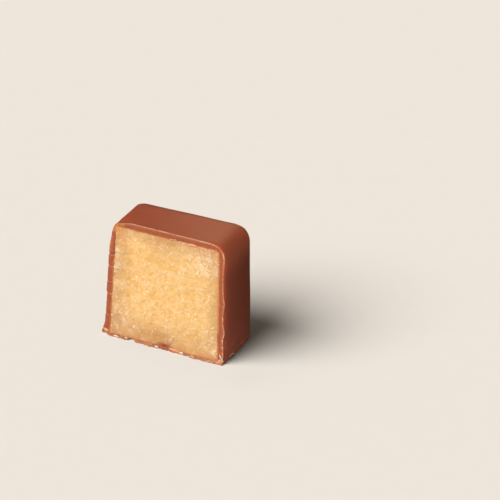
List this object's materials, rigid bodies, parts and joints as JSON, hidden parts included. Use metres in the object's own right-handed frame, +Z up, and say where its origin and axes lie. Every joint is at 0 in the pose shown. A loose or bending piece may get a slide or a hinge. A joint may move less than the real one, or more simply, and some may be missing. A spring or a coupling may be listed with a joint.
{
  "type": "marzipan praline",
  "caption": "Cube-shaped chocolate praline cut in half upright: a thin milk chocolate coat round a pale, crumbly marzipan core that shows at the flat cut.",
  "frame": {"origin": "on the table, under the middle of the whole half's box", "axes": "+X along the cut to its right, +Y from the cut to the back, +Z up; the cut faces -Y"},
  "size_m": [0.0238, 0.0118, 0.0224],
  "materials": {
    "milk_chocolate": "satin poured milk chocolate, lighter and matt where it was cut",
    "marzipan": "matt, crumbly, freshly cut almond paste"
  },
  "bodies": {
    "root": {"chocolate_coat": "milk_chocolate", "marzipan_filling": "marzipan"}
  },
  "joints": []
}
